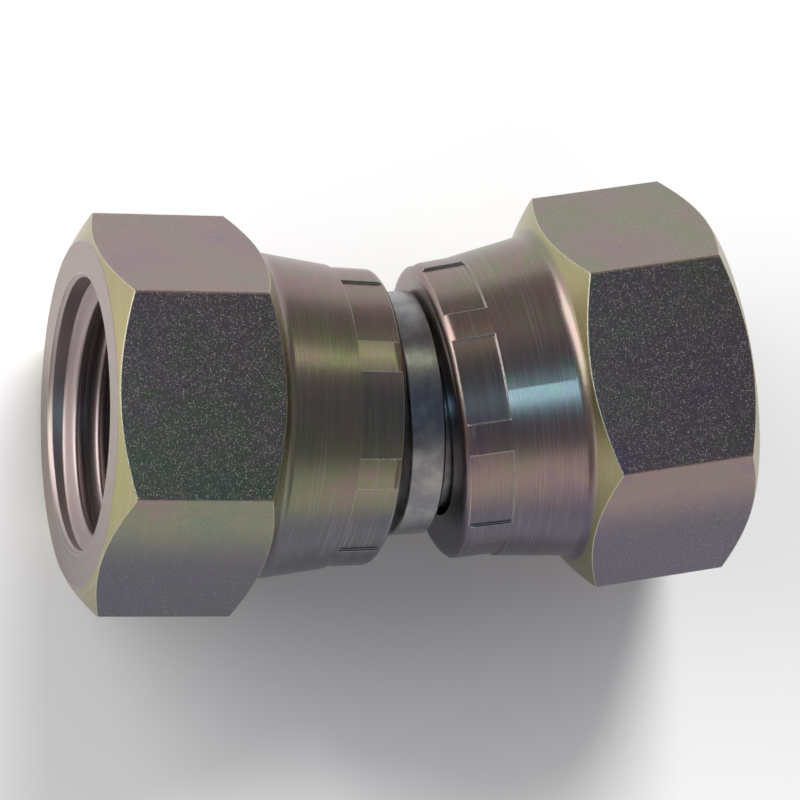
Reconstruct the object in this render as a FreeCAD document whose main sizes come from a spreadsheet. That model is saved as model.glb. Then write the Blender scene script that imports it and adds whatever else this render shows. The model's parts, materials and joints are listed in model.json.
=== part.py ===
import FreeCAD, Part
import math
import os
import Sketcher

# A straight pipe adapter: two like hex nuts turn on the two ends of one bored stem.
# Lengths are in millimetres and angles in degrees. X runs along the stem, Y across it, Z up.
# The adapter lies on the rear edges of both lowest hex flats, on the plane Z = 0.
# Each nut is drawn on its own axis Z, which points out of its mouth. Its zero is the inner face
# of the crimped lip, where the nut's axis crosses the stem's.

driving_sizes = [
    ("across_flats", 27.0),
    ("corner_rounding", 0.25),
    ("chamfer_slope", 30.0),
    ("nut_length", 23.0),
    ("hex_length", 13.0),
    ("face_radius", 13.25),
    ("hex_foot_radius", 13.3),
    ("barrel_root_radius", 12.75),
    ("barrel_root_fillet", 1.2),
    ("crimp_length", 3.8),
    ("crimp_start_radius", 11.85),
    ("rim_radius", 11.7),
    ("rim_rounding", 1.0),
    ("lip_thickness", 2.1),
    ("thread_radius", 10.48),
    ("mouth_chamfer", 0.3),
    ("print_count", 8),
    ("print_width", 33.0),
    ("print_depth", 0.18),
    ("left_print_turn", -5.3),
    ("right_print_turn", -5.8),
    ("nut_yaw", 4.2),
    ("nut_pitch", 2.5),
    ("ring_radius", 9.5),
    ("ring_length", 2.8),
    ("ring_chamfer", 0.15),
    ("rim_gap", 1.0),
    ("neck_radius", 7.6),
    ("neck_clearance", 0.5),
    ("flange_radius", 9.2),
    ("flange_clearance", 0.6),
    ("flange_thickness", 3.0),
    ("end_play", 1.0),
    ("seat_slope", 30.0),
    ("tip_radius", 6.3),
    ("nose_clearance", 1.4),
    ("passage_radius", 5.5),
]

# Spare stock beyond the hex corners, and reach of a cut past the surface that it cuts
cut_reach = 1.0

doc = FreeCAD.newDocument("PipeAdapter")
sheet = doc.addObject("Spreadsheet::Sheet", "Sizes")
for row, (alias, number) in enumerate(driving_sizes, start=1):
    sheet.set(f"A{row}", alias)
    sheet.set(f"B{row}", str(number))
    sheet.setAlias(f"B{row}", alias)
doc.recompute()


def value(expression):
    return float(sheet.evalExpression(expression))


# Places along a nut's axis, and radii, as expressions of the driving sizes
corner_radius = "(Sizes.across_flats / 2 / cos(30))"
stock_radius = f"({corner_radius} + {cut_reach})"
rise = "tan(Sizes.chamfer_slope)"
rim_place = "(-Sizes.lip_thickness)"
face_place = "(Sizes.nut_length - Sizes.lip_thickness)"
foot_place = f"({face_place} - Sizes.hex_length)"
crimp_place = "(Sizes.crimp_length - Sizes.lip_thickness)"
lip_radius = "(Sizes.neck_radius + Sizes.neck_clearance)"
cavity_radius = "(Sizes.flange_radius + Sizes.flange_clearance)"
flange_front = "(Sizes.end_play + Sizes.flange_thickness)"
tip_place = f"({flange_front} + (Sizes.flange_radius - Sizes.tip_radius) / tan(Sizes.seat_slope))"
thread_end = f"({tip_place} + Sizes.nose_clearance)"


def front_chamfer(radius):
    return f"({face_place} - ({radius} - Sizes.face_radius) * {rise})"


def rear_chamfer(radius):
    return f"({foot_place} + ({radius} - Sizes.hex_foot_radius) * {rise})"


root_place = rear_chamfer("Sizes.barrel_root_radius")


def origin_feature(body, role):
    for feature in body.Origin.OriginFeatures:
        if feature.Role == role:
            return feature
    raise ValueError(role)


def new_sketch(body, name, role):
    sketch = body.newObject("Sketcher::SketchObject", name)
    sketch.AttachmentSupport = [(origin_feature(body, role), "")]
    sketch.MapMode = "FlatFace"
    return sketch


def bind_outline(sketch, corners):
    # A closed run of straight lines, each corner held by two bound distances from the origin
    points = [FreeCAD.Vector(value(across), value(along), 0) for across, along in corners]
    first = sketch.GeometryCount
    for number, point in enumerate(points):
        following = points[(number + 1) % len(points)]
        sketch.addGeometry(Part.LineSegment(point, following), False)
    for number, (across, along) in enumerate(corners):
        line = first + number
        following = first + (number + 1) % len(corners)
        sketch.addConstraint(Sketcher.Constraint("Coincident", line, 2, following, 1))
        for kind, expression, start in (("DistanceX", across, points[number].x),
                                        ("DistanceY", along, points[number].y)):
            place = sketch.addConstraint(Sketcher.Constraint(kind, -1, 1, line, 1, start))
            sketch.setExpression(f"Constraints[{place}]", expression)


def revolve(body, sketch, name):
    solid = body.newObject("PartDesign::Revolution", name)
    solid.Profile = sketch
    solid.ReferenceAxis = (sketch, ["V_Axis"])
    solid.Angle = 360
    doc.recompute()
    return solid


def round_edges(body, base, name, chosen, alias):
    names = [f"Edge{number}" for number, edge in enumerate(base.Shape.Edges, start=1) if chosen(edge)]
    if not names:
        raise ValueError(f"{name} found no edge")
    fillet = body.newObject("PartDesign::Fillet", name)
    fillet.Base = (base, names)
    fillet.setExpression("Radius", f"Sizes.{alias}")
    doc.recompute()
    return fillet


def ring_edge(radius, place):
    # True for a round edge of this radius at this place along the nut's own axis
    def chosen(edge):
        curve = edge.Curve
        if not isinstance(curve, Part.Circle):
            return False
        return abs(curve.Radius - radius) < 0.001 and abs(curve.Center.z - place) < 0.001
    return chosen


def hex_corner_edge(edge):
    # True for a straight edge along the nut's own axis at the hex's corner radius
    if not isinstance(edge.Curve, Part.Line):
        return False
    start = edge.Vertexes[0].Point
    end = edge.Vertexes[1].Point
    off_axis = math.hypot(start.x, start.y) - value(corner_radius)
    return abs(off_axis) < 0.001 and math.hypot(start.x - end.x, start.y - end.y) < 0.001


def smaller(feature, base):
    # A cut that points away from the solid leaves its volume as it was
    if feature.Shape.Volume >= base.Shape.Volume:
        raise ValueError(f"{feature.Name} cuts nothing")


def make_nut(label, print_turn):
    body = doc.addObject("PartDesign::Body", label)
    body.Label = label

    # The turned blank, with its thread bore, the cavity for the flange and the lip round the neck
    section = new_sketch(body, f"{label}_section", "XZ_Plane")
    bind_outline(section, [
        ("Sizes.thread_radius + Sizes.mouth_chamfer", face_place),
        ("Sizes.face_radius", face_place),
        (stock_radius, front_chamfer(stock_radius)),
        (stock_radius, rear_chamfer(stock_radius)),
        ("Sizes.barrel_root_radius", root_place),
        ("Sizes.crimp_start_radius", crimp_place),
        ("Sizes.rim_radius", rim_place),
        (lip_radius, rim_place),
        (lip_radius, "0"),
        (cavity_radius, "0"),
        (cavity_radius, thread_end),
        ("Sizes.thread_radius", thread_end),
        ("Sizes.thread_radius", f"{face_place} - Sizes.mouth_chamfer"),
    ])
    blank = revolve(body, section, f"{label}_blank")
    rim = round_edges(body, blank, f"{label}_rim",
                      ring_edge(value("Sizes.rim_radius"), value(rim_place)), "rim_rounding")
    root = round_edges(body, rim, f"{label}_root",
                       ring_edge(value("Sizes.barrel_root_radius"), value(root_place)), "barrel_root_fillet")

    # Six flats, one of them square to the nut's own X axis
    outline = new_sketch(body, f"{label}_hexagon", "XY_Plane")
    bind_outline(outline, [(f"{corner_radius} * cos({turn})", f"{corner_radius} * sin({turn})")
                           for turn in range(30, 390, 60)])
    round_stock = Part.Circle(FreeCAD.Vector(0, 0, 0), FreeCAD.Vector(0, 0, 1), value(stock_radius) + cut_reach)
    circle = outline.addGeometry(round_stock, False)
    outline.addConstraint(Sketcher.Constraint("Coincident", circle, 3, -1, 1))
    size = outline.addConstraint(Sketcher.Constraint("Radius", circle, value(stock_radius) + cut_reach))
    outline.setExpression(f"Constraints[{size}]", f"{stock_radius} + {cut_reach}")
    doc.recompute()
    flats = body.newObject("PartDesign::Pocket", f"{label}_flats")
    flats.Profile = outline
    flats.Type = "ThroughAll"
    flats.Reversed = True
    doc.recompute()
    smaller(flats, root)
    corners = round_edges(body, flats, f"{label}_corners", hex_corner_edge, "corner_rounding")

    # The crimping jaws' shallow prints round the rim
    jaw = new_sketch(body, f"{label}_jaw", "XZ_Plane")
    jaw.AttachmentOffset = FreeCAD.Placement(FreeCAD.Vector(0, 0, 0), FreeCAD.Rotation(FreeCAD.Vector(0, 1, 0), 1))
    jaw.setExpression("AttachmentOffset.Rotation.Angle", f"Sizes.{print_turn} - Sizes.print_width / 2")
    bind_outline(jaw, [
        ("Sizes.crimp_start_radius - Sizes.print_depth", crimp_place),
        ("Sizes.rim_radius - Sizes.print_depth", rim_place),
        ("Sizes.rim_radius - Sizes.print_depth", f"{rim_place} - {cut_reach}"),
        (f"Sizes.crimp_start_radius + {cut_reach}", f"{rim_place} - {cut_reach}"),
        (f"Sizes.crimp_start_radius + {cut_reach}", crimp_place),
    ])
    print_cut = body.newObject("PartDesign::Groove", f"{label}_print")
    print_cut.Profile = jaw
    print_cut.ReferenceAxis = (jaw, ["V_Axis"])
    print_cut.setExpression("Angle", "Sizes.print_width")
    doc.recompute()
    smaller(print_cut, corners)
    prints = body.newObject("PartDesign::PolarPattern", f"{label}_prints")
    prints.Originals = [print_cut]
    prints.Axis = (origin_feature(body, "Z_Axis"), [""])
    prints.Angle = 360
    prints.setExpression("Occurrences", "Sizes.print_count")
    body.Tip = prints
    doc.recompute()
    smaller(prints, print_cut)
    return body


def make_stem(label):
    # The ring in the middle, then on each side a neck, a nose flange and a sealing cone
    body = doc.addObject("PartDesign::Body", label)
    body.Label = label
    crossing = crossing_place()
    half = [
        ("Sizes.passage_radius", f"{crossing} + {tip_place}"),
        ("Sizes.tip_radius", f"{crossing} + {tip_place}"),
        ("Sizes.flange_radius", f"{crossing} + {flange_front}"),
        ("Sizes.flange_radius", f"{crossing} + Sizes.end_play"),
        ("Sizes.neck_radius", f"{crossing} + Sizes.end_play"),
        ("Sizes.neck_radius", "Sizes.ring_length / 2"),
        ("Sizes.ring_radius - Sizes.ring_chamfer", "Sizes.ring_length / 2"),
        ("Sizes.ring_radius", "Sizes.ring_length / 2 - Sizes.ring_chamfer"),
    ]
    other_half = [(radius, f"-({place})") for radius, place in reversed(half)]
    section = new_sketch(body, f"{label}_section", "XZ_Plane")
    bind_outline(section, half + other_half)
    body.Tip = revolve(body, section, f"{label}_turned")
    return body


def crossing_place():
    return "(Sizes.ring_length / 2 + Sizes.rim_gap + Sizes.lip_thickness)"


def stem_place():
    # Height and side place at which the adapter rests on Z = 0 with its middle over the origin
    yaw = math.radians(value("Sizes.nut_yaw"))
    pitch = math.radians(value("Sizes.nut_pitch"))
    half_flat = value("Sizes.across_flats / 2")
    rear_edge = value(rear_chamfer("Sizes.across_flats / 2"))
    height = half_flat * math.cos(pitch) - rear_edge * math.sin(pitch)
    corner_middle = (value(front_chamfer(corner_radius)) + value(rear_chamfer(corner_radius))) / 2
    aside = -corner_middle * math.sin(yaw) * math.cos(pitch)
    return FreeCAD.Vector(0, aside, height)


def place_nut(body, side):
    # side is -1 for the left nut and 1 for the right one: both mouths turn towards +Y and +Z
    yaw = math.radians(value("Sizes.nut_yaw"))
    pitch = math.radians(value("Sizes.nut_pitch"))
    level = FreeCAD.Vector(side * math.cos(yaw), math.sin(yaw), 0)
    upright = FreeCAD.Vector(0, 0, 1)
    outward = level * math.cos(pitch) + upright * math.sin(pitch)
    flat_normal = upright * math.cos(pitch) - level * math.sin(pitch)
    turn = FreeCAD.Rotation(flat_normal, outward.cross(flat_normal), outward, "ZXY")
    crossing = FreeCAD.Vector(side * value(crossing_place()), 0, 0)
    body.Placement = FreeCAD.Placement(stem_place() + crossing, turn)


stem = make_stem("centre_stem")
stem.Placement = FreeCAD.Placement(stem_place(), FreeCAD.Rotation(FreeCAD.Vector(0, 1, 0), 90))
left_nut = make_nut("left_swivel_nut", "left_print_turn")
place_nut(left_nut, -1)
right_nut = make_nut("right_swivel_nut", "right_print_turn")
place_nut(right_nut, 1)
doc.recompute()

for item in doc.Objects:
    if "Invalid" in item.State or "Error" in item.State:
        raise RuntimeError(f"{item.Label} is {item.State}")

pieces = [stem, left_nut, right_nut]
for piece in pieces:
    if piece.Shape.isNull() or not piece.Shape.isValid():
        raise RuntimeError(f"{piece.Label} has no valid shape")

os.makedirs("parts", exist_ok=True)
for piece in pieces:
    piece.Shape.exportStep(f"parts/{piece.Label}.step")
    box = piece.Shape.BoundBox
    print(piece.Label, f"volume {piece.Shape.Volume:.1f}",
          f"X {box.XMin:.2f} {box.XMax:.2f}", f"Y {box.YMin:.2f} {box.YMax:.2f}",
          f"Z {box.ZMin:.2f} {box.ZMax:.2f}")
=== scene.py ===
import bpy
import json
import math
from mathutils import Matrix, Vector


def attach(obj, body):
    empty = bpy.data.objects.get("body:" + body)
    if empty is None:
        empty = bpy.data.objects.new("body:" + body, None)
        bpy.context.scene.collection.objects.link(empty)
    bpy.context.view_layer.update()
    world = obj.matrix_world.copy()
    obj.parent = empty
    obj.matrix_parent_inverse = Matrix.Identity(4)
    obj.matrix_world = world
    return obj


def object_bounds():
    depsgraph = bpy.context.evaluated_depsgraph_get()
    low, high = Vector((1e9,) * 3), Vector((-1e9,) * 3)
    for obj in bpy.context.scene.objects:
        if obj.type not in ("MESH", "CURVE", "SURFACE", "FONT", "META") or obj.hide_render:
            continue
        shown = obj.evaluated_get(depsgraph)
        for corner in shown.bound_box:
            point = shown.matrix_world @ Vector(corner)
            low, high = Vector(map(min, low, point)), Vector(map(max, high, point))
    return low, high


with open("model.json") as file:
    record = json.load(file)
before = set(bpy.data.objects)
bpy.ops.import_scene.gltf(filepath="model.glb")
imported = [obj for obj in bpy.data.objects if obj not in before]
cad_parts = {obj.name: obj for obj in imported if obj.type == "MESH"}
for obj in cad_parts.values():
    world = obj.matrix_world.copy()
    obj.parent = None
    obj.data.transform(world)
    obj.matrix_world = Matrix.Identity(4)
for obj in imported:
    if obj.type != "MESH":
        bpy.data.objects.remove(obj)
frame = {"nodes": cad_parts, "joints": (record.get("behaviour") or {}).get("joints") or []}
cadBox = [list(corner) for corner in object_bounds()]
mm = 0.001
joints = {joint["name"]: joint for joint in frame["joints"]}
print("frame loaded")

# Places along a nut's own axis, from the inner face of its crimped lip, and radii, in mm
nutShape = {
    "footPlace": 7.9, "footRadius": 13.3,  # where the line of the rear chamfer starts
    "facePlace": 20.9, "faceRadius": 13.25,  # the flat ring round the mouth
    "chamferSlope": 30.0,  # degrees
}

# Each mask rises from 0 at its first value to 1 at its second, in mm
masks = {
    "pastChamfer": (0.02, 0.07),  # beyond the cone of a chamfer
    "flats": (12.9, 13.2), "rearChamfer": (12.9, 13.4),  # radii
    "face": (-0.05, -0.02),  # from the face's place
    "boreRadius": (10.75, 10.6), "borePlace": (7.5, 8.0),
}


def nutFrame(jointName):
    # Z out of the nut's mouth, X square to its uppermost flat
    outward = Vector(joints[jointName]["axis"]).normalized()
    across = outward.cross(Vector((0, 0, 1))).normalized()
    upright = across.cross(outward)
    turn = Matrix((upright, outward.cross(upright), outward)).transposed()
    return turn, Vector(joints[jointName]["pos_m"])


class Shader:
    # Short names for the nodes of one material
    def __init__(self, name):
        self.material = bpy.data.materials.new(name)
        self.material.use_nodes = True
        self.tree = self.material.node_tree
        self.surface = self.tree.nodes["Principled BSDF"]

    def feed(self, socket, item):
        if isinstance(item, bpy.types.NodeSocket):
            self.tree.links.new(item, socket)
        else:
            socket.default_value = item

    def node(self, kind, inputs=(), **settings):
        made = self.tree.nodes.new(kind)
        for key, setting in settings.items():
            setattr(made, key, setting)
        for place, item in dict(inputs).items():
            self.feed(made.inputs[place], item)
        return made

    def calc(self, operation, *items, clamp=False):
        inputs = dict(enumerate(items))
        return self.node("ShaderNodeMath", inputs, operation=operation, use_clamp=clamp).outputs[0]

    def times(self, first, second):
        return self.calc("MULTIPLY", first, second)

    def line(self, item, factor, offset):
        # item * factor + offset
        return self.calc("MULTIPLY_ADD", item, factor, offset)

    def less(self, first, second, clamp=False):
        return self.calc("SUBTRACT", first, second, clamp=clamp)

    def step(self, item, low, high):
        # 0 below low, 1 above high, smooth between
        inputs = {"Value": item, "From Min": low, "From Max": high}
        return self.node("ShaderNodeMapRange", inputs, interpolation_type="SMOOTHSTEP").outputs[0]

    def mix(self, share, first, second):
        made = self.node("ShaderNodeMix", data_type="RGBA")
        self.feed(made.inputs[0], share)
        self.feed(made.inputs[6], first)
        self.feed(made.inputs[7], second)
        return made.outputs[2]

    def blend(self, share, first, second):
        # As mix, for single numbers
        made = self.node("ShaderNodeMix", data_type="FLOAT")
        self.feed(made.inputs[0], share)
        self.feed(made.inputs[2], first)
        self.feed(made.inputs[3], second)
        return made.outputs[0]

    def tinted(self, colour, mask, share, tint):
        # The tint's share of the colour where the mask is 1
        return self.mix(self.times(mask, share), colour, (*tint, 1.0))

    def scaled(self, vector, factors):
        inputs = {0: vector, 1: factors}
        return self.node("ShaderNodeVectorMath", inputs, operation="MULTIPLY").outputs[0]

    def noise(self, vector, scale, detail=2.0, rough=0.5):
        inputs = {"Vector": vector, "Scale": scale, "Detail": detail, "Roughness": rough}
        return self.node("ShaderNodeTexNoise", inputs).outputs["Fac"]

    def ramp(self, item, stops):
        made = self.node("ShaderNodeValToRGB", {0: item})
        made.color_ramp.interpolation = "EASE"
        points = made.color_ramp.elements
        while len(points) < len(stops):
            points.new(0.5)
        for point, (place, colour) in zip(points, stops):
            point.position = place
            point.color = (*colour, 1.0)
        return made.outputs["Color"]

    def bevel(self, radius):
        return self.node("ShaderNodeBevel", {"Radius": radius}, samples=4).outputs[0]

    def bump(self, height, depth, below):
        inputs = {"Height": height, "Distance": depth, "Strength": 1.0, "Normal": below}
        return self.node("ShaderNodeBump", inputs).outputs[0]


# Lengths of the bumps and of the rounded edges are in metres, scales are per mm
platedFinish = {
    "passivation": (  # from the greenest blotch to the pinkest: place on the ramp, colour
        (0.36, (0.172, 0.194, 0.136)), (0.45, (0.206, 0.199, 0.136)),
        (0.53, (0.232, 0.184, 0.161)), (0.60, (0.248, 0.174, 0.165)),
        (0.70, (0.222, 0.155, 0.184)),
    ),
    "blotchScale": 0.19, "blotchDetail": 3.0, "blotchRough": 0.55, "blotchAmount": 0.55,
    "mottleScale": 1.045, "mottleDetail": 4.0, "mottleRough": 0.6, "mottleAmount": 0.30,
    "leastPink": 0.105,
    # Painted shade: a darker, bluer colour on the side of each nut that faces the shadowed floor
    "paintedShade": (0.088, 0.083, 0.115), "paintedShadeShare": 0.85,
    "turnedPaintedShade": (0.55, 0.80), "flatPaintedShade": (0.65, 0.93),  # sines of the angle round the axis
    "gold": (0.375, 0.340, 0.165), "goldShare": 0.75,
    "face": (0.262, 0.184, 0.162), "faceShare": 0.7,
    # Painted light: a brighter, pinker colour on the bore and the thread, lightening their shade
    "boreToneAndPaintedLight": (0.37, 0.30, 0.30), "boreToneAndPaintedLightShare": 0.9, "threadedRoughness": 0.12,
    "speck": (0.55, 0.56, 0.60), "speckShare": 0.30, "speckFrom": (0.60, 0.70),
    "streakShare": 0.22, "streakFrom": (0.50, 0.75),
    # Painted highlight: a pale colour along the rounded edges, where the flats meet the chamfers and round
    # the pads
    "paintedEdgeHighlight": (0.80, 0.80, 0.78), "paintedEdgeHighlightShare": 0.5, "paintedEdgeHighlightLikeness": (0.90, 0.995),
    "grainScale": 5.0, "grainDetail": 4.0, "grainRough": 0.7, "grainDepth": 0.000012,
    "speckScale": 9.0, "speckDetail": 1.0, "speckDepth": 0.000016,
    "lineScale": 11.0, "lineDetail": 3.0, "lineRough": 0.75, "lineDepth": 0.0000030,
    "lineStretch": 0.012,  # round the axis
    "flatRoughness": 0.20, "flatSpread": 0.22, "turnedRoughness": 0.21, "turnedSpread": 0.16,
    "edgeRound": 0.00013,
}


def platedSteel(name, jointName, settings, tone):
    # Yellow-passivated zinc: grained flats, and turned barrel, chamfers and face with fine lines
    s = Shader(name)
    turn, pivot = nutFrame(jointName)
    where = s.node("ShaderNodeTexCoord").outputs["Object"]
    toNut = {"Vector": where, "Location": pivot, "Rotation": turn.to_euler(), "Scale": (mm, mm, mm)}
    local = s.node("ShaderNodeMapping", toNut, vector_type="TEXTURE").outputs[0]
    x, y, z = s.node("ShaderNodeSeparateXYZ", {0: local}).outputs[:3]
    radius = s.calc("SQRT", s.calc("ADD", s.times(x, x), s.times(y, y)))

    # Which surfaces the lathe cut: barrel, both chamfers, face and bore
    slope = math.tan(math.radians(nutShape["chamferSlope"]))
    rearStart = nutShape["footPlace"] - nutShape["footRadius"] * slope
    frontStart = nutShape["facePlace"] + nutShape["faceRadius"] * slope
    overRear = s.less(z, s.line(radius, slope, rearStart))
    overFront = s.less(s.line(radius, -slope, frontStart), z)
    pastRear = s.step(overRear, *masks["pastChamfer"])
    pastFront = s.step(overFront, *masks["pastChamfer"])
    onFlats = s.times(s.times(pastRear, pastFront), s.step(radius, *masks["flats"]))
    offFlats = s.less(1.0, onFlats)
    atRear = s.times(s.less(1.0, pastRear), s.step(radius, *masks["rearChamfer"]))
    atFace = s.step(z, *(nutShape["facePlace"] + edge for edge in masks["face"]))
    onChamfers = s.less(s.calc("ADD", s.less(1.0, pastFront), atRear), atFace, clamp=True)
    inBore = s.times(s.step(radius, *masks["boreRadius"]), s.step(z, *masks["borePlace"]))

    # Blotches of passivation colour
    shift = {0: local, 1: (tone["seed"], tone["seed"], 0.0)}
    moved = s.node("ShaderNodeVectorMath", shift, operation="ADD").outputs[0]
    blotch = s.noise(moved, settings["blotchScale"], settings["blotchDetail"], settings["blotchRough"])
    mottle = s.noise(moved, settings["mottleScale"], settings["mottleDetail"], settings["mottleRough"])
    pinkness = s.line(blotch, settings["blotchAmount"], settings["leastPink"] + tone["pinker"])
    pinkness = s.line(mottle, settings["mottleAmount"], pinkness)
    pinkness = s.line(y, tone["sideways"] / nutShape["footRadius"], pinkness)
    colour = s.ramp(pinkness, settings["passivation"])

    # Painted shade: a darker, bluer side, where the metal faces the shadowed floor; and gold chamfers
    aside = s.times(s.calc("DIVIDE", y, radius), tone["paintedShadeSide"])
    paintedShadeEdges = [s.line(onFlats, flat - turned, turned)
                  for turned, flat in zip(settings["turnedPaintedShade"], settings["flatPaintedShade"])]
    paintedShadeMask = s.step(aside, *paintedShadeEdges)
    colour = s.tinted(colour, paintedShadeMask, settings["paintedShadeShare"], settings["paintedShade"])
    colour = s.tinted(colour, onChamfers, settings["goldShare"], settings["gold"])
    colour = s.tinted(colour, atFace, settings["faceShare"], settings["face"])
    # Painted light in the bore: a brighter, pinker colour that lightens the shaded bore and thread
    colour = s.tinted(colour, inBore, settings["boreToneAndPaintedLightShare"], settings["boreToneAndPaintedLight"])

    # Grain and specks on the flats, lines round the axis on what was turned, and a painted highlight along
    # the edges
    grain = s.noise(local, settings["grainScale"], settings["grainDetail"], settings["grainRough"])
    stretch = settings["lineStretch"]
    wound = {0: s.times(x, stretch), 1: s.times(y, stretch), 2: s.calc("ADD", z, radius)}
    turned = s.node("ShaderNodeCombineXYZ", wound).outputs[0]
    lines = s.noise(turned, settings["lineScale"], settings["lineDetail"], settings["lineRough"])
    dots = s.noise(local, settings["speckScale"], settings["speckDetail"])
    specks = s.times(s.step(dots, *settings["speckFrom"]), onFlats)
    colour = s.tinted(colour, specks, settings["speckShare"], settings["speck"])
    streaks = s.times(s.step(lines, *settings["streakFrom"]), offFlats)
    colour = s.tinted(colour, streaks, settings["streakShare"], settings["speck"])
    edges = s.bevel(settings["edgeRound"])
    normals = {0: edges, 1: s.node("ShaderNodeNewGeometry").outputs["Normal"]}
    likeness = s.node("ShaderNodeVectorMath", normals, operation="DOT_PRODUCT").outputs["Value"]
    # Painted highlight: pale where the rounded-edge normal turns away from the surface's own normal
    paintedEdgeHighlight = s.less(1.0, s.step(likeness, *settings["paintedEdgeHighlightLikeness"]))
    colour = s.tinted(colour, paintedEdgeHighlight, settings["paintedEdgeHighlightShare"], settings["paintedEdgeHighlight"])
    s.feed(s.surface.inputs["Base Color"], colour)
    s.feed(s.surface.inputs["Metallic"], 1.0)

    flatRough = s.line(grain, settings["flatSpread"], settings["flatRoughness"])
    turnedRough = s.line(lines, settings["turnedSpread"], settings["turnedRoughness"])
    turnedRough = s.line(inBore, settings["threadedRoughness"], turnedRough)
    s.feed(s.surface.inputs["Roughness"], s.blend(onFlats, turnedRough, flatRough))

    normal = s.bump(s.times(grain, onFlats), settings["grainDepth"], edges)
    normal = s.bump(specks, settings["speckDepth"], normal)
    normal = s.bump(s.times(lines, offFlats), settings["lineDepth"], normal)
    s.feed(s.surface.inputs["Normal"], normal)
    return s.material


stemFinish = {
    "zinc": (0.27, 0.265, 0.27), "dull": (0.17, 0.165, 0.18), "places": (0.35, 0.65),
    "toneScale": 0.5, "toneDetail": 4.0, "toneRough": 0.6,
    "lineScale": 6.0, "lineDetail": 3.0, "lineRough": 0.7, "lineStretch": 0.05,
    "lineDepth": 0.000003, "roughness": 0.20, "spread": 0.2, "edgeRound": 0.00012,
}


def stemSteel(name, settings):
    # Turned steel under plain zinc, lines round the X axis
    s = Shader(name)
    where = s.node("ShaderNodeTexCoord").outputs["Object"]
    local = s.scaled(where, (1 / mm, 1 / mm, 1 / mm))
    tone = s.noise(local, settings["toneScale"], settings["toneDetail"], settings["toneRough"])
    colour = s.ramp(tone, tuple(zip(settings["places"], (settings["dull"], settings["zinc"]))))
    turned = s.scaled(local, (1.0, settings["lineStretch"], settings["lineStretch"]))
    lines = s.noise(turned, settings["lineScale"], settings["lineDetail"], settings["lineRough"])
    s.feed(s.surface.inputs["Base Color"], colour)
    s.feed(s.surface.inputs["Metallic"], 1.0)
    s.feed(s.surface.inputs["Roughness"], s.line(lines, settings["spread"], settings["roughness"]))
    normal = s.bump(lines, settings["lineDepth"], s.bevel(settings["edgeRound"]))
    s.feed(s.surface.inputs["Normal"], normal)
    return s.material


# Where each nut's blotches lie, how pink it is and becomes to one side, and on which side its painted shade
# lies
tones = {
    "left": {"seed": 3.0, "pinker": -0.030, "sideways": 0.10, "paintedShadeSide": -1.0},
    "right": {"seed": 41.0, "pinker": 0.035, "sideways": 0.05, "paintedShadeSide": 1.0},
}
finishes = {"centre_stem": stemSteel("stemZinc", stemFinish)}
for side, tone in tones.items():
    finishes[side + "_swivel_nut"] = platedSteel(side + "NutPlating", side + "_nut_spin", platedFinish, tone)
for nodeName, finish in finishes.items():
    piece = frame["nodes"][nodeName]
    piece.data.materials.clear()
    piece.data.materials.append(finish)
print("materials on the CAD pieces")

# Thread ridges: a rounded wave swept along a helix, tapering out at both ends. Places, radii and
# pitch are in mm on the nut's axis, the taper is a share of the helix, tip a share of the wave
thread = {
    "pitch": 1.814, "rootRadius": 10.50, "crestRadius": 9.34,
    "start": 10.75, "end": 20.15,
    "pointsPerTurn": 96, "pointsAcross": 17, "taper": 0.06, "tip": 0.05,
}
threadInputs = {
    "Pitch": "NodeSocketFloat", "Length": "NodeSocketFloat", "Root Radius": "NodeSocketFloat",
    "Ridge Height": "NodeSocketFloat", "Points Per Turn": "NodeSocketInt",
    "Points Across": "NodeSocketInt", "Taper": "NodeSocketFloat", "Tip": "NodeSocketFloat",
    "Finish": "NodeSocketMaterial",
}


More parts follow.
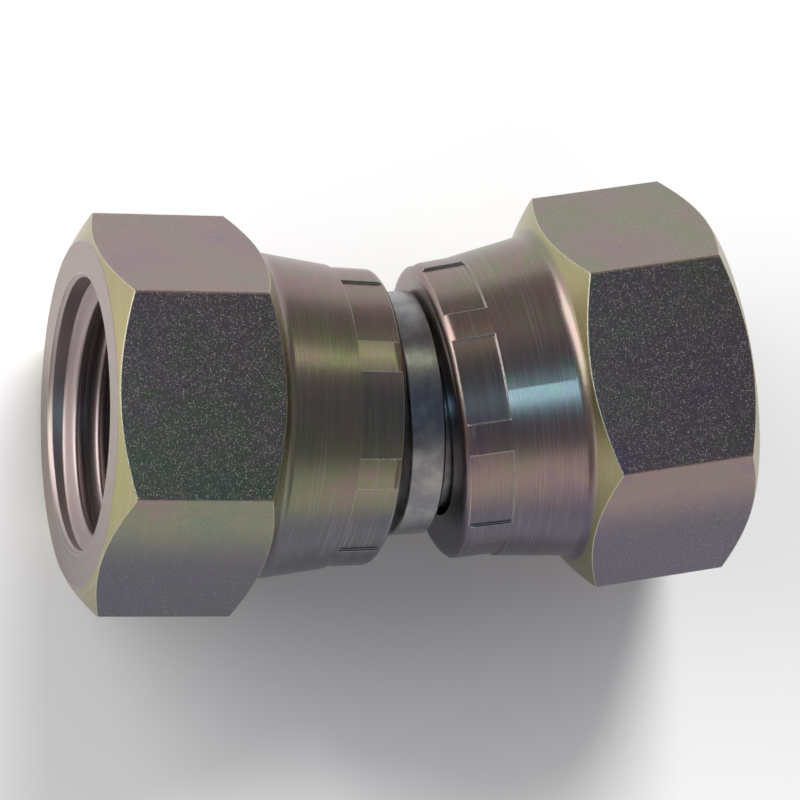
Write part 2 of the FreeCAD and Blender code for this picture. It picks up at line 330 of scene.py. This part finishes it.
def threadTree():
    tree = bpy.data.node_groups.new("threadRidge", "GeometryNodeTree")
    for name, kind in threadInputs.items():
        tree.interface.new_socket(name, in_out="INPUT", socket_type=kind)
    tree.interface.new_socket("Geometry", in_out="OUTPUT", socket_type="NodeSocketGeometry")
    given = tree.nodes.new("NodeGroupInput").outputs
    result = tree.nodes.new("NodeGroupOutput")

    def node(kind, inputs=(), **settings):
        made = tree.nodes.new(kind)
        for key, setting in settings.items():
            setattr(made, key, setting)
        for place, item in dict(inputs).items():
            if isinstance(item, bpy.types.NodeSocket):
                tree.links.new(item, made.inputs[place])
            else:
                made.inputs[place].default_value = item
        return made

    def calc(operation, *items):
        return node("ShaderNodeMath", dict(enumerate(items)), operation=operation).outputs[0]

    # A right-handed helix is the spiral reversed, and then its profile's X points away from the axis
    turns = calc("DIVIDE", given["Length"], given["Pitch"])
    helix = node("GeometryNodeCurveSpiral", {
        "Resolution": given["Points Per Turn"], "Rotations": turns, "Height": given["Length"],
        "Start Radius": given["Root Radius"], "End Radius": given["Root Radius"], "Reverse": True})
    upright = node("GeometryNodeSetCurveNormal", {"Curve": helix.outputs[0]}, mode="Z_UP")

    # One pitch of the wave, from root to root, closed along the wall
    line = node("GeometryNodeCurvePrimitiveLine", {"Start": (0, 0.5, 0), "End": (0, -0.5, 0)}, mode="POINTS")
    resampled = {"Curve": line.outputs[0], "Count": given["Points Across"]}
    points = node("GeometryNodeResampleCurve", resampled)
    position = node("GeometryNodeInputPosition").outputs[0]
    across = node("ShaderNodeSeparateXYZ", {0: position}).outputs[1]
    fromRoot = {"Value": calc("ABSOLUTE", across), "From Min": 0.5, "From Max": 0.0}
    wave = node("ShaderNodeMapRange", fromRoot, interpolation_type="SMOOTHSTEP").outputs[0]
    outward = calc("MULTIPLY", calc("MULTIPLY", wave, given["Ridge Height"]), -1.0)
    place = node("ShaderNodeCombineXYZ", {0: outward, 1: calc("MULTIPLY", across, given["Pitch"])})
    shaped = node("GeometryNodeSetPosition", {"Geometry": points.outputs[0], "Position": place.outputs[0]})
    closed = node("GeometryNodeSetSplineCyclic", {0: shaped.outputs[0], "Cyclic": True})

    # The wave grows from a tip at each end of the helix
    share = node("GeometryNodeSplineParameter").outputs["Factor"]
    nearer = calc("MINIMUM", share, calc("SUBTRACT", 1.0, share))
    growth = {
        "Value": nearer, "From Min": 0.0, "From Max": given["Taper"], "To Min": given["Tip"], "To Max": 1.0}
    swell = node("ShaderNodeMapRange", growth, interpolation_type="SMOOTHSTEP")
    ridge = node("GeometryNodeCurveToMesh", {
        "Curve": upright.outputs[0], "Profile Curve": closed.outputs[0], "Scale": swell.outputs[0],
        "Fill Caps": True})
    smooth = node("GeometryNodeSetShadeSmooth", {0: ridge.outputs[0]})
    realized = node("GeometryNodeRealizeInstances", {0: smooth.outputs[0]})
    finished = node("GeometryNodeSetMaterial", {"Geometry": realized.outputs[0], "Material": given["Finish"]})
    tree.links.new(finished.outputs[0], result.inputs[0])
    return tree


def makeThread(name, jointName, tree, settings, finish):
    carrier = bpy.data.objects.new(name + "Carrier", bpy.data.meshes.new(name + "Carrier"))
    bpy.context.collection.objects.link(carrier)
    modifier = carrier.modifiers.new("ridge", "NODES")
    modifier.node_group = tree
    amounts = {
        "Pitch": settings["pitch"] * mm, "Length": (settings["end"] - settings["start"]) * mm,
        "Root Radius": settings["rootRadius"] * mm,
        "Ridge Height": (settings["rootRadius"] - settings["crestRadius"]) * mm,
        "Points Per Turn": settings["pointsPerTurn"], "Points Across": settings["pointsAcross"],
        "Taper": settings["taper"], "Tip": settings["tip"], "Finish": finish,
    }
    for item in tree.interface.items_tree:
        if item.in_out == "INPUT":
            modifier[item.identifier] = amounts[item.name]
    ready = carrier.evaluated_get(bpy.context.evaluated_depsgraph_get())
    mesh = bpy.data.meshes.new_from_object(ready)
    carrier.modifiers.remove(modifier)
    bpy.data.objects.remove(carrier)
    turn, pivot = nutFrame(jointName)
    along = Matrix.Translation((0, 0, settings["start"] * mm))
    mesh.transform(Matrix.Translation(pivot) @ turn.to_4x4() @ along)
    mesh.update()
    piece = bpy.data.objects.new(name, mesh)
    bpy.context.collection.objects.link(piece)
    return piece


ridgeTree = threadTree()
for side in tones:
    finish = finishes[side + "_swivel_nut"]
    ridge = makeThread(side + "_thread_ridge", side + "_nut_spin", ridgeTree, thread, finish)
    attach(ridge, side + "_nut")
print("threads cut")

# A plain pale floor
paper = {"size": 3.0, "drop": 0.00002, "colour": (0.86, 0.86, 0.87), "roughness": 0.9, "specular": 0.1}
reach = paper["size"] / 2
corners = [(-reach, -reach, 0), (reach, -reach, 0), (reach, reach, 0), (-reach, reach, 0)]
floorMesh = bpy.data.meshes.new("floor")
floorMesh.from_pydata(corners, [], [(0, 1, 2, 3)])
floor = bpy.data.objects.new("floor", floorMesh)
floor.location.z = -paper["drop"]
bpy.context.collection.objects.link(floor)
floorShade = Shader("floorPaper")
floorShade.feed(floorShade.surface.inputs["Base Color"], (*paper["colour"], 1.0))
floorShade.feed(floorShade.surface.inputs["Roughness"], paper["roughness"])
floorShade.feed(floorShade.surface.inputs["Specular IOR Level"], paper["specular"])
floorMesh.materials.append(floorShade.material)


def towards(angles):
    # Unit vector to a light: azimuth from -Y towards +X, then elevation, in degrees
    azimuth, elevation = (math.radians(angle) for angle in angles)
    level = math.cos(elevation)
    return Vector((math.sin(azimuth) * level, -math.cos(azimuth) * level, math.sin(elevation)))


def placeLamp(name, lamp, angles):
    holder = bpy.data.objects.new(name, lamp)
    holder.rotation_mode = "QUATERNION"
    holder.rotation_quaternion = towards(angles).to_track_quat("Z", "Y")
    bpy.context.collection.objects.link(holder)
    return holder


# Softboxes: where they shine from, width and height in metres, and glow. The small one overhead
# makes the blue glint, and lights the metal alone
softboxes = {
    "frontBox": {"from": (5, 22), "size": (0.46, 0.36), "glow": 0.72, "tint": (1.0, 0.98, 0.90)},
    "backBox": {"from": (147, 43), "size": (0.26, 0.05), "glow": 3.4, "tint": (0.94, 1.0, 0.66)},
    "windowBox": {"from": (-121, 24), "size": (0.50, 0.34), "glow": 3.8, "tint": (1.0, 0.99, 0.95)},
    "topBox": {"from": (-72, 80), "size": (0.07, 0.08), "glow": 16.5, "tint": (0.38, 0.78, 1.0),
               "metalOnly": True},
}
boxDistance = 0.45
middle = (Vector(cadBox[0]) + Vector(cadBox[1])) / 2
for name, box in softboxes.items():
    lamp = bpy.data.lights.new(name, "AREA")
    lamp.shape = "RECTANGLE"
    lamp.size, lamp.size_y = box["size"]
    lamp.energy = box["glow"] * math.pi * lamp.size * lamp.size_y
    lamp.color = box["tint"]
    holder = placeLamp(name, lamp, box["from"])
    holder.location = middle + towards(box["from"]) * boxDistance
    holder.visible_diffuse = not box.get("metalOnly", False)

# Two wide soft suns light the floor and are not seen in the metal
suns = {
    "key": {"from": (161, 37), "strength": 2.9, "spread": 24.0},
    "fill": {"from": (0, 90), "strength": 0.1, "spread": 80.0},
}
for name, sun in suns.items():
    lamp = bpy.data.lights.new(name, "SUN")
    lamp.energy = sun["strength"]
    lamp.angle = math.radians(sun["spread"])
    placeLamp(name, lamp, sun["from"]).visible_glossy = False

# Room: dark and bluish overhead, paler towards the horizon
room = (
    (0.0, (0.38, 0.36, 0.36)), (0.04, (0.34, 0.32, 0.31)), (0.50, (0.30, 0.28, 0.28)),
    (0.80, (0.21, 0.22, 0.25)), (0.94, (0.12, 0.12, 0.18)),
)
world = bpy.data.worlds.new("room")
bpy.context.scene.world = world
world.use_nodes = True
nodes, links = world.node_tree.nodes, world.node_tree.links
direction = nodes.new("ShaderNodeTexCoord").outputs["Generated"]
split = nodes.new("ShaderNodeSeparateXYZ")
links.new(direction, split.inputs[0])
sky = nodes.new("ShaderNodeValToRGB")
while len(sky.color_ramp.elements) < len(room):
    sky.color_ramp.elements.new(0.5)
for element, (place, colour) in zip(sky.color_ramp.elements, room):
    element.position = place
    element.color = (*colour, 1.0)
links.new(split.outputs[2], sky.inputs[0])
links.new(sky.outputs[0], nodes["Background"].inputs[0])
print("light set")

# Camera as the photo was taken: looking down, a little from the left nut's side
shot = {
    "azimuth": -71.59, "elevation": 74.335, "roll": -5.192, "distance": 0.35016,
    "target": (0.00045, -0.00006, 0.0130), "lens": 201.52, "clip": (0.01, 20.0),
}
back = towards((shot["azimuth"], shot["elevation"]))
roll = math.radians(shot["roll"])
level = Vector((0, 1, 0)).cross(back).normalized()
raised = back.cross(level)
right = level * math.cos(roll) + raised * math.sin(roll)
up = raised * math.cos(roll) - level * math.sin(roll)
camera = bpy.data.cameras.new("camera")
camera.lens = shot["lens"]
camera.clip_start, camera.clip_end = shot["clip"]
viewer = bpy.data.objects.new("camera", camera)
stand = Matrix.Translation(Vector(shot["target"]) + back * shot["distance"])
viewer.matrix_world = stand @ Matrix((right, up, back)).transposed().to_4x4()
bpy.context.collection.objects.link(viewer)
bpy.context.scene.camera = viewer
bpy.context.scene.view_settings.view_transform = "Standard"
